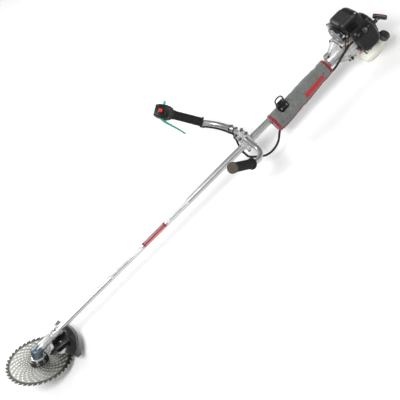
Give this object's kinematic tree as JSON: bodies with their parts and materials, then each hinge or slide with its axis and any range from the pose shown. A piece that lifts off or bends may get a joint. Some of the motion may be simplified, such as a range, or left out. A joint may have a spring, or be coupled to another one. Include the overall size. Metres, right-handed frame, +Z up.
{
  "type": "brush cutter",
  "caption": "Straight-shaft brush cutter with toothed perforated disc, debris guard, wide two-grip handlebar, hip pad, rear petrol engine and slung fuel tank.",
  "frame": {"origin": "centre of the footprint on the floor the machine lies on", "axes": "+X along the shaft towards the engine, +Y to the operator's right, +Z up"},
  "size_m": [1.8822, 0.559, 0.3243],
  "materials": {
    "tube": "satin",
    "cast_aluminium": "sand cast",
    "gear_blue": "satin paint",
    "steel": "ground",
    "dark_steel": "blackened",
    "black_plastic": "fine grain",
    "gloss_black": "gloss",
    "rubber": "matte",
    "pad_fabric": "woven",
    "tank_plastic": "translucent ivory",
    "mint": "satin",
    "teal": "satin",
    "red_plastic": "satin",
    "panel_silver": "silver paint",
    "foam": "open foam",
    "ceramic": "glazed",
    "primer_clear": "clear amber",
    "rope": "braided"
  },
  "bodies": {
    "machine": {"main_tube": "tube", "gear_case": "gear_blue", "gear_clamp_bolt": "dark_steel", "input_bearing": "steel", "output_bearing": "steel", "guard_bracket": "black_plastic", "debris_guard": "gloss_black", "shaft_bush_1": "black_plastic", "shaft_bush_2": "black_plastic", "handle_bracket_base": "cast_aluminium", "handle_bracket_middle": "cast_aluminium", "handle_bracket_cap": "cast_aluminium", "hanger_clamp": "black_plastic", "hip_pad": "pad_fabric", "conduit_lower": "rubber", "clutch_case": "cast_aluminium", "clutch_clamp_bolt": "dark_steel", "crankcase": "cast_aluminium", "cylinder": "cast_aluminium", "piston": "steel", "spark_plug": "ceramic", "engine_cover": "black_plastic", "front_panel": "panel_silver", "recoil_case": "black_plastic", "carburettor": "steel", "air_box": "black_plastic", "air_cover": "gloss_black", "air_filter": "foam", "muffler": "dark_steel", "ignition_coil": "rubber", "fuel_tank": "tank_plastic"},
    "cutter": {"saw_blade": "steel", "blade_holder": "black_plastic", "lower_flange": "dark_steel", "blade_nut": "steel", "output_spindle": "steel", "crown_gear": "steel"},
    "drive_line": {"drive_shaft": "steel", "pinion": "steel", "clutch_drum": "steel"},
    "crank": {"crankshaft": "steel", "flywheel_fan": "cast_aluminium", "clutch_shoes": "dark_steel"},
    "reel": {"starter_reel": "black_plastic"},
    "starter_pull": {"starter_handle": "black_plastic", "starter_rope": "rope"},
    "handlebar": {"handle_bar_right": "tube", "handle_bar_left": "tube", "grip_right": "rubber", "grip_left": "rubber", "throttle_housing_front": "black_plastic", "throttle_housing_back": "black_plastic", "conduit_upper": "rubber"},
    "trigger": {"throttle_trigger": "teal"},
    "lockout": {"lockout_lever": "mint"},
    "switch": {"stop_switch": "red_plastic"},
    "filler_cap": {"fuel_cap": "black_plastic"},
    "choke": {"choke_lever": "red_plastic"},
    "primer": {"primer_bulb": "primer_clear"},
    "harness_ring": {"hanger_ring": "dark_steel"}
  },
  "joints": [
    {"name": "blade_spin", "type": "hinge", "parent": "machine", "child": "cutter", "pos_m": [-0.8054, -0.007, 0.105], "axis": [0.4617, 0, 0.887], "continuous": true},
    {"name": "shaft_spin", "type": "hinge", "parent": "machine", "child": "drive_line", "pos_m": [-0.8054, -0.007, 0.105], "axis": [1, 0, 0], "continuous": true},
    {"name": "crank_spin", "type": "hinge", "parent": "machine", "child": "crank", "pos_m": [0.7946, -0.007, 0.105], "axis": [1, 0, 0], "continuous": true},
    {"name": "reel_turn", "type": "hinge", "parent": "machine", "child": "reel", "pos_m": [0.8646, -0.007, 0.105], "axis": [1, 0, 0], "range_deg": [0, 119]},
    {"name": "starter_slide", "type": "slide", "parent": "machine", "child": "starter_pull", "axis": [1, 0, 0], "range_m": [0, 0.055], "stiffness_N_per_m": 60, "springref_m": -0.05},
    {"name": "handlebar_tilt", "type": "hinge", "parent": "machine", "child": "handlebar", "pos_m": [0.2736, -0.007, 0.136], "axis": [0, 1, 0], "range_deg": [-15, 15]},
    {"name": "trigger_pull", "type": "hinge", "parent": "handlebar", "child": "trigger", "pos_m": [0.1151, 0.25041, 0.28734], "axis": [0.1497, -0.796, 0.5865], "range_deg": [0, 10], "stiffness_Nm_per_rad": 0.3, "springref_deg": -11.46},
    {"name": "lockout_press", "type": "hinge", "parent": "handlebar", "child": "lockout", "pos_m": [0.14799, 0.26649, 0.30077], "axis": [-0.1497, 0.796, -0.5865], "range_deg": [0, 5], "stiffness_Nm_per_rad": 0.3, "springref_deg": -11.46},
    {"name": "switch_press", "type": "slide", "parent": "handlebar", "child": "switch", "axis": [-0.1497, 0.796, -0.5865], "range_m": [0, 0.0025], "stiffness_N_per_m": 400, "springref_m": -0.001},
    {"name": "cap_turn", "type": "hinge", "parent": "machine", "child": "filler_cap", "pos_m": [0.8736, -0.051, 0.036], "axis": [0.4616, -0.5418, 0.7024], "range_deg": [0, 150]},
    {"name": "choke_turn", "type": "hinge", "parent": "machine", "child": "choke", "pos_m": [0.7813, -0.0925, 0.123], "axis": [-1, 0, 0], "range_deg": [0, 60]},
    {"name": "primer_press", "type": "slide", "parent": "machine", "child": "primer", "axis": [0, 0, 1], "range_m": [0, 0.0025], "stiffness_N_per_m": 400, "springref_m": -0.001},
    {"name": "ring_swing", "type": "hinge", "parent": "machine", "child": "harness_ring", "pos_m": [0.4526, -0.0401, 0.14445], "axis": [1, 0, 0], "range_deg": [-30, 100]}
  ],
  "couplings": [
    {"joint": "shaft_spin", "follows": "blade_spin", "ratio": 1.4},
    {"joint": "reel_turn", "follows": "starter_slide", "rad_per_m": 37.037}
  ]
}
